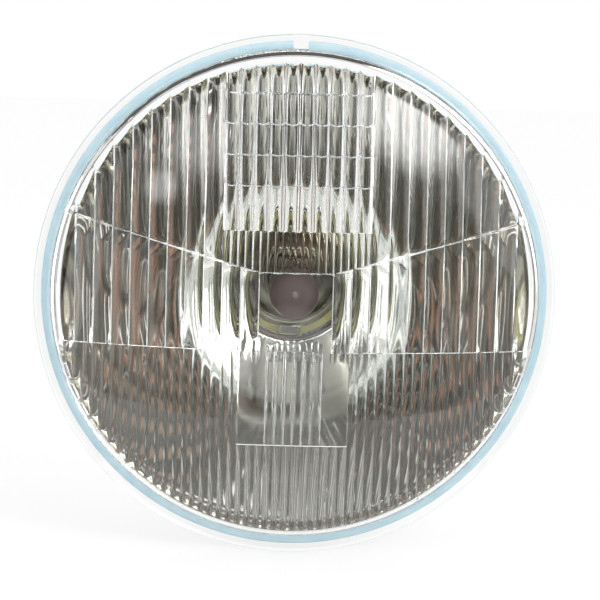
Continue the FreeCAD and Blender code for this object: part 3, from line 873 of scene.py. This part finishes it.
def make_collar():
    """Sleeve and disc, three lugs behind the disc and the bright key at the bottom."""
    points, rings = lathe_rings(collar_profile(), COLLAR_TURN)
    shells = [(points, walls(rings, looped=True))]
    lug = sector(COLLAR_RADIUS - OVERLAP, LUG_RADIUS, LUG_HALF)
    shells += thrice(pressed(lug, BULB_SEAT, COLLAR_REAR, LUG_EDGE))
    key = rounded(box(-KEY_HALF, KEY_HALF, -LUG_RADIUS, -BEAD_RADIUS - BEAD_HALF), KEY_CORNER)
    shells.append(pressed(key, KEY_FRONT, KEY_FRONT + KEY_DEPTH, KEY_EDGE))
    piece = assembled("collar_foot", shells)
    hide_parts("bulb_collar")
    return piece


def make_holder():
    """Pressed plate with a bayonet hook and a stop at each cut corner."""
    plate = rounded(thirds([(-HOLDER_HALF, HOLDER_RADIUS), (HOLDER_HALF, HOLDER_RADIUS)]), HOLDER_CORNER)
    shells = [pressed(plate, HOLDER_FRONT, BULB_SEAT, PLATE_EDGE, circle(HOLDER_HOLE, 96))]
    foot = BULB_SEAT - OVERLAP
    inside = HOLDER_RADIUS - HOOK_WALL
    hook = rounded([(foot, HOLDER_RADIUS), (HOOK_END, HOLDER_RADIUS), (HOOK_END, HOOK_REACH),
                    (HOOK_LIP, HOOK_REACH), (HOOK_LIP, inside), (foot, inside)], HOOK_CORNER)
    stop = rounded(box(foot, HOOK_END, HOOK_REACH, HOLDER_RADIUS), HOOK_CORNER)
    shells += thrice(pressed(hook, -HOOK_HALF, HOOK_HALF, PLATE_EDGE, axes=(1, 0, 2)))
    shells += thrice(pressed(stop, -HOOK_HALF, HOOK_WALL - HOOK_HALF, PLATE_EDGE, axes=(1, 0, 2)))
    piece = assembled("holder_plate", shells)
    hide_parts("bulb_holder")
    return piece


def make_retainer():
    """Bayonet plate with three lugs and three grips bent up from it."""
    sixth = math.radians(60)
    around = [(RETAINER_SIDE, RETAINER_ROOT), (RETAINER_SIDE, RETAINER_TIP),
              (RETAINER_SIDE + RETAINER_LUG, RETAINER_TIP),
              (RETAINER_RADIUS * math.sin(sixth), RETAINER_RADIUS * math.cos(sixth))]
    plate = rounded(thirds(around), RETAINER_CORNER)
    corner = (RETAINER_OPENING * math.sin(sixth), RETAINER_OPENING * math.cos(sixth))
    opening = rounded(thirds([(0, RETAINER_OPENING), corner]), OPENING_CORNER)
    shells = [pressed(plate, RETAINER_FRONT, RETAINER_REAR, PLATE_EDGE, opening)]
    foot = RETAINER_REAR - OVERLAP
    tip = GRIP_HALF - GRIP_TAPER
    grip = rounded([(-GRIP_HALF, foot), (GRIP_HALF, foot), (tip, GRIP_END), (-tip, GRIP_END)], GRIP_CORNER)
    shells += thrice(pressed(grip, GRIP_FRONT, GRIP_REAR, GRIP_EDGE, axes=(0, 2, 1)))
    piece = assembled("retainer_plate", shells, body="bulb_retainer")
    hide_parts("bulb_retainer")
    return piece


def make_base():
    """Moulded block with flats round it and a boss round every blade."""
    flats = rounded(circle(BASE_RADIUS, BASE_FLATS), BASE_EDGE, 3)
    shells = [pressed(flats, COLLAR_REAR, BASE_REAR, BASE_EDGE)]
    wide, deep = BLADE_HALF + BOSS_WALL, BLADE_GAUGE / 2 + BOSS_WALL
    outline = rounded(box(-wide, wide, BLADE_OFFSET - deep, BLADE_OFFSET + deep), BOSS_CORNER)
    boss = pressed(outline, BASE_REAR - BOSS_ROOT, BASE_REAR + BOSS_HEIGHT, PLATE_EDGE)
    shells += [spun(boss, degrees) for degrees in BLADE_TURNS.values()]
    piece = assembled("base_block", shells)
    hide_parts("base_insulator")
    return piece


def make_blade(name, node, degrees):
    """Flat blade with a tapered tip and a small hole for the plug's catch."""
    chamfer = BLADE_END - BLADE_CHAMFER
    tip = BLADE_HALF - BLADE_CHAMFER
    outline = rounded([(-BLADE_HALF, BLADE_FOOT), (BLADE_HALF, BLADE_FOOT), (BLADE_HALF, chamfer),
                       (tip, BLADE_END), (-tip, BLADE_END), (-BLADE_HALF, chamfer)], BLADE_CORNER, 4)
    catch = [(u, v + BLADE_END - BLADE_CATCH) for u, v in circle(BLADE_HOLE, 20)]
    half = BLADE_GAUGE / 2
    blade = pressed(outline, BLADE_OFFSET - half, BLADE_OFFSET + half, BLADE_EDGE, catch, axes=(0, 2, 1))
    piece = assembled(name, [spun(blade, degrees)])
    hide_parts(node)
    return piece


# Materials

def shader_of(tree):
    return tree.nodes["Principled BSDF"]


def new_material(name, **values):
    made = bpy.data.materials.new(name)
    made.use_nodes = True
    for socket, value in values.items():
        shader_of(made.node_tree).inputs[socket.replace("_", " ")].default_value = value
    return made


def object_place(tree):
    return tree.nodes.new("ShaderNodeTexCoord").outputs["Object"]


def noise_of(tree, grain, detail=4.0):
    """Soft noise in the object's own place, with a grain in waves per metre."""
    noise = tree.nodes.new("ShaderNodeTexNoise")
    noise.inputs["Scale"].default_value = grain
    noise.inputs["Detail"].default_value = detail
    tree.links.new(object_place(tree), noise.inputs["Vector"])
    return noise.outputs["Fac"]


def ramp(tree, value, colours):
    """Colours spread evenly over the middle of a noise's range."""
    made = tree.nodes.new("ShaderNodeValToRGB")
    stops = made.color_ramp.elements
    while len(stops) < len(colours):
        stops.new(0.5)
    for stop, place, colour in zip(stops, np.linspace(*RAMP_RANGE, len(colours)), colours):
        stop.position = place
        stop.color = (*colour, 1)
    tree.links.new(value, made.inputs["Fac"])
    return made.outputs["Color"]


def map_range(tree, value, start, end, low=0.0, high=1.0, smooth=False):
    """The range from start to end mapped to the range from low to high."""
    made = tree.nodes.new("ShaderNodeMapRange")
    made.interpolation_type = "SMOOTHSTEP" if smooth else "LINEAR"
    for socket, limit in (("From Min", start), ("From Max", end), ("To Min", low), ("To Max", high)):
        made.inputs[socket].default_value = limit
    tree.links.new(value, made.inputs["Value"])
    return made.outputs["Result"]


def length_of(tree, vector):
    made = tree.nodes.new("ShaderNodeVectorMath")
    made.operation = "LENGTH"
    tree.links.new(vector, made.inputs[0])
    return made.outputs["Value"]


def math_of(tree, operation, first, second):
    """A math node on a socket and a number or another socket."""
    made = tree.nodes.new("ShaderNodeMath")
    made.operation = operation
    tree.links.new(first, made.inputs[0])
    if isinstance(second, float):
        made.inputs[1].default_value = second
    else:
        tree.links.new(second, made.inputs[1])
    return made.outputs[0]


def dress(tree, colours, grain, rough, wear, height, relief):
    """Soft colours, a roughness that follows the wear, and bumps in micrometres on a material's shader."""
    bumps = tree.nodes.new("ShaderNodeBump")
    bumps.inputs["Distance"].default_value = relief * MICRON
    tree.links.new(height, bumps.inputs["Height"])
    colour = ramp(tree, noise_of(tree, grain), colours)
    worn = map_range(tree, wear, *NOISE_RANGE, *rough)
    for source, socket in ((colour, "Base Color"), (worn, "Roughness"), (bumps.outputs["Normal"], "Normal")):
        tree.links.new(source, shader_of(tree).inputs[socket])


def mottled(name, colours, rough, grain, relief, **values):
    """Material whose colour, roughness and surface vary softly, each with a grain of its own."""
    made = new_material(name, **values)
    tree = made.node_tree
    wear, height = noise_of(tree, ROUGH_GRAIN * grain), noise_of(tree, BUMP_GRAIN * grain, 1.0)
    dress(tree, colours, grain, rough, wear, height, relief)
    return made


def spun_metal(name, colours, rough, grain, relief):
    """Metal with fine turning marks round the optical axis."""
    made = new_material(name, Metallic=1.0)
    tree = made.node_tree
    marks = tree.nodes.new("ShaderNodeTexWave")
    marks.wave_type = "RINGS"
    marks.rings_direction = "Y"
    marks.inputs["Scale"].default_value = TURNING_MARKS
    marks.inputs["Distortion"].default_value = 3.0
    marks.inputs["Detail"].default_value = 3.0
    tree.links.new(object_place(tree), marks.inputs["Vector"])
    dress(tree, colours, grain, rough, marks.outputs["Fac"], marks.outputs["Fac"], relief)
    return made


def blend_by_reach(tree, base, near, far, colour):
    """A colour blended over another between two distances off the optical axis, in millimetres."""
    flat = tree.nodes.new("ShaderNodeVectorMath")
    flat.operation = "MULTIPLY"
    flat.inputs[1].default_value = (1, 0, 1)
    tree.links.new(object_place(tree), flat.inputs[0])
    reach = length_of(tree, flat.outputs["Vector"])
    blend = tree.nodes.new("ShaderNodeMix")
    blend.data_type = "RGBA"
    blend.inputs["B"].default_value = (*colour, 1)
    tree.links.new(map_range(tree, reach, near * MM, far * MM, smooth=True), blend.inputs["Factor"])
    tree.links.new(base, blend.inputs["A"])
    return blend.outputs["Result"]


def coat_paint():
    """Matt brown-grey coat with painted shade darkening it towards its edge and a painted highlight
    lightening the pip at its middle.
    """
    made = mottled("coat_paint", *COAT_PAINT)
    tree = made.node_tree
    target = shader_of(tree).inputs["Base Color"]
    # Painted shade: the coat is darkened towards its edge, where the round tip turns away from the light
    colour = blend_by_reach(tree, target.links[0].from_socket, *COAT_SHADE_REACH, PAINTED_SHADE_COLOUR)
    # Painted highlight: the pip at the middle of the coat is lightened
    colour = blend_by_reach(tree, colour, *PIP_HIGHLIGHT_REACH, PAINTED_HIGHLIGHT_COLOUR)
    tree.links.new(colour, target)
    return made


def paint(piece, *made):
    piece.data.materials.clear()
    for material in made:
        piece.data.materials.append(material)


def paint_reflector(piece, inside, outside):
    """Mirror on the faces that look to the front or the axis, plain metal on the rest."""
    paint(piece, inside, outside)
    steep = 0.5
    for face in piece.data.polygons:
        outwards = face.normal.x * face.center.x + face.normal.z * face.center.z
        if face.normal.y > steep or outwards > 0 and face.normal.y > -steep:
            face.material_index = 1


# Stage

def make_world():
    """Even white studio light from all sides."""
    world = bpy.data.worlds.new("studio")
    bpy.context.scene.world = world
    world.use_nodes = True
    world.node_tree.nodes["Background"].inputs["Color"].default_value = (1, 1, 1, 1)


def direction(azimuth, elevation):
    """Direction from the lens towards the room, from degrees to the right and up."""
    turn, rise = math.radians(azimuth), math.radians(elevation)
    return Vector((math.sin(turn) * math.cos(rise), -math.cos(turn) * math.cos(rise), math.sin(rise)))


def face_lens(made, away, azimuth, elevation):
    """Stand a lamp or card off the lens and turn it towards the lens."""
    towards = direction(azimuth, elevation)
    made.location = towards * away
    made.rotation_mode = "QUATERNION"
    made.rotation_quaternion = towards.to_track_quat("Z", "Y")


def make_softbox(name, azimuth, elevation, size, level):
    """Large round lamp that faces the lens; its level is the brightness of its surface."""
    data = bpy.data.lights.new(name, "AREA")
    data.shape = "DISK"
    data.size = size
    data.energy = level * math.pi * math.pi * size ** 2 / 4
    face_lens(new_object(name, data), LAMP_AWAY, azimuth, elevation)


def blend_shaders(tree, share, first, second, out):
    mixed = tree.nodes.new("ShaderNodeMixShader")
    tree.links.new(share, mixed.inputs["Fac"])
    tree.links.new(first.outputs[0], mixed.inputs[1])
    tree.links.new(second.outputs[0], mixed.inputs[2])
    tree.links.new(mixed.outputs[0], out.inputs["Surface"])


def glow_material(name, colour, fade=None):
    """Glow seen in mirror and glass; matt surfaces get the even light behind it instead.

    A fade gives the distances from a card's middle where its glow starts and is full.
    """
    made = bpy.data.materials.new(name)
    made.use_nodes = True
    tree = made.node_tree
    tree.nodes.clear()
    glow = tree.nodes.new("ShaderNodeEmission")
    glow.inputs["Color"].default_value = (*colour, 1)
    rays = tree.nodes.new("ShaderNodeLightPath")
    share = math_of(tree, "LESS_THAN", rays.outputs["Diffuse Depth"], 0.5)
    if fade:
        cover = map_range(tree, length_of(tree, object_place(tree)), *fade, smooth=True)
        share = math_of(tree, "MULTIPLY", share, cover)
    clear = tree.nodes.new("ShaderNodeBsdfTransparent")
    blend_shaders(tree, share, clear, glow, tree.nodes.new("ShaderNodeOutputMaterial"))
    return made


def stage_object(name, points, faces):
    mesh = bpy.data.meshes.new(name)
    mesh.from_pydata(points, [], faces)
    return new_object(name, mesh)


def make_card(name, away, azimuth, elevation, reach, solid, colour):
    """Round soft-edged card that faces the lens; the mirror sees it and no camera does."""
    side = away * math.tan(math.radians(reach))
    card = stage_object(name, [(x, y, 0) for x, y in box(-side, side, -side, side)], [(0, 1, 2, 3)])
    face_lens(card, away, azimuth, elevation)
    card.visible_camera = False
    paint(card, glow_material(name, colour, (side, side * solid)))


def make_tent():
    """Half dome of pale grey cloth over the front, behind the lamps; no camera sees it."""
    turns = np.linspace(0, TENT_HALF, 12)
    points, rings = lathe_rings([(TENT_AWAY * math.sin(t), -TENT_AWAY * math.cos(t)) for t in turns], 32)
    tent = stage_object("tent", points, walls(rings))
    tent.visible_camera = False
    paint(tent, glow_material("tent_cloth", TENT_GREY))


def make_room():
    """The tent and its cards, each card a little nearer than the one before."""
    make_tent()
    for layer, (name, place) in enumerate(ROOM.items()):
        make_card(name, CARD_AWAY - CARD_GAP * layer, *place)


def floor_material():
    """Pale matt top that also glows where the camera, the mirror or the glass sees it."""
    made = new_material("pale_floor", Base_Color=(*FLOOR_GREY, 1), Roughness=0.9)
    tree = made.node_tree
    rays = tree.nodes.new("ShaderNodeLightPath")
    seen = rays.outputs["Is Camera Ray"]
    for kind in ("Is Glossy Ray", "Is Transmission Ray"):
        seen = math_of(tree, "MAXIMUM", seen, rays.outputs[kind])
    share = math_of(tree, "MULTIPLY", seen, FLOOR_GLOW)
    glow = tree.nodes.new("ShaderNodeEmission")
    blend_shaders(tree, share, shader_of(tree), glow, tree.nodes["Material Output"])
    return made


def make_floor():
    """Pale table top that ends a little in front of the lens."""
    level = -LENS_RADIUS * MM - FLOOR_GAP
    corners = box(-FLOOR_REACH, FLOOR_REACH, FLOOR_FRONT, FLOOR_REACH)
    floor = stage_object("floor", [(x, y, level) for x, y in corners], [(0, 1, 2, 3)])
    paint(floor, floor_material())


def make_camera():
    """The photo's view: nearly straight on, from a little above."""
    away = direction(*CAMERA_PLACE)
    data = bpy.data.cameras.new("camera")
    data.lens = CAMERA_LENS
    data.sensor_width = 36.0
    camera = new_object("camera", data)
    camera.location = Vector(CAMERA_TARGET) + away * CAMERA_AWAY
    camera.rotation_mode = "QUATERNION"
    camera.rotation_quaternion = (-away).to_track_quat("-Z", "Y") @ Quaternion((0, 0, 1), CAMERA_ROLL)
    bpy.context.scene.camera = camera


def set_light_paths():
    """Enough bounces for light that passes the lens and the mirror several times."""
    scene = bpy.context.scene
    scene.view_settings.view_transform = "Standard"
    scene.cycles.max_bounces = 24
    scene.cycles.transmission_bounces = 24
    scene.cycles.glossy_bounces = 16
    scene.cycles.diffuse_bounces = 4


make_world()
for lamp, lamp_place in LAMPS.items():
    make_softbox(lamp, *lamp_place)
make_room()
make_floor()
make_camera()
set_light_paths()

glass = mottled("lens_glass", *GLASS, IOR=GLASS_IOR, Transmission_Weight=1.0)
metals = {metal: mottled(metal, *finish, Metallic=1.0) for metal, finish in METALS.items()}

paint(make_lens(), glass)
paint_reflector(make_reflector(), metals["bright_mirror"], spun_metal("dull_zinc", *DULL_ZINC))
paint(make_seal(), mottled("seal_blue", *SEAL_BLUE))
paint(make_envelope(), glass)
paint(make_coat(), coat_paint())
paint(make_coil("main_coil", "main_filament", MAIN_FRONT, MAIN_REAR), metals["tungsten"])
paint(make_coil("dip_coil", "dip_filament", DIP_FRONT, DIP_REAR), metals["tungsten"])
paint(make_lead("main_wire", "lead_main", MAIN_REAR + LEAD_GAUGE / 2, -90), metals["nickel"])
paint(make_lead("dip_wire", "lead_dip", DIP_FRONT - LEAD_GAUGE / 2, 90), metals["nickel"])
paint(make_lead("common_wire", "lead_common", MAIN_FRONT - LEAD_GAUGE / 2, 0), metals["nickel"])
paint(make_shield(), metals["nickel"])
paint(make_collar(), metals["foot_metal"])
paint(make_holder(), metals["passivated"])
paint(make_retainer(), metals["bright_zinc"])
paint(make_base(), mottled("base_plastic", *BLACK_PLASTIC))
for use, blade_turn in BLADE_TURNS.items():
    paint(make_blade(f"blade_{use}", f"terminal_{use}", blade_turn), metals["tinned_brass"])
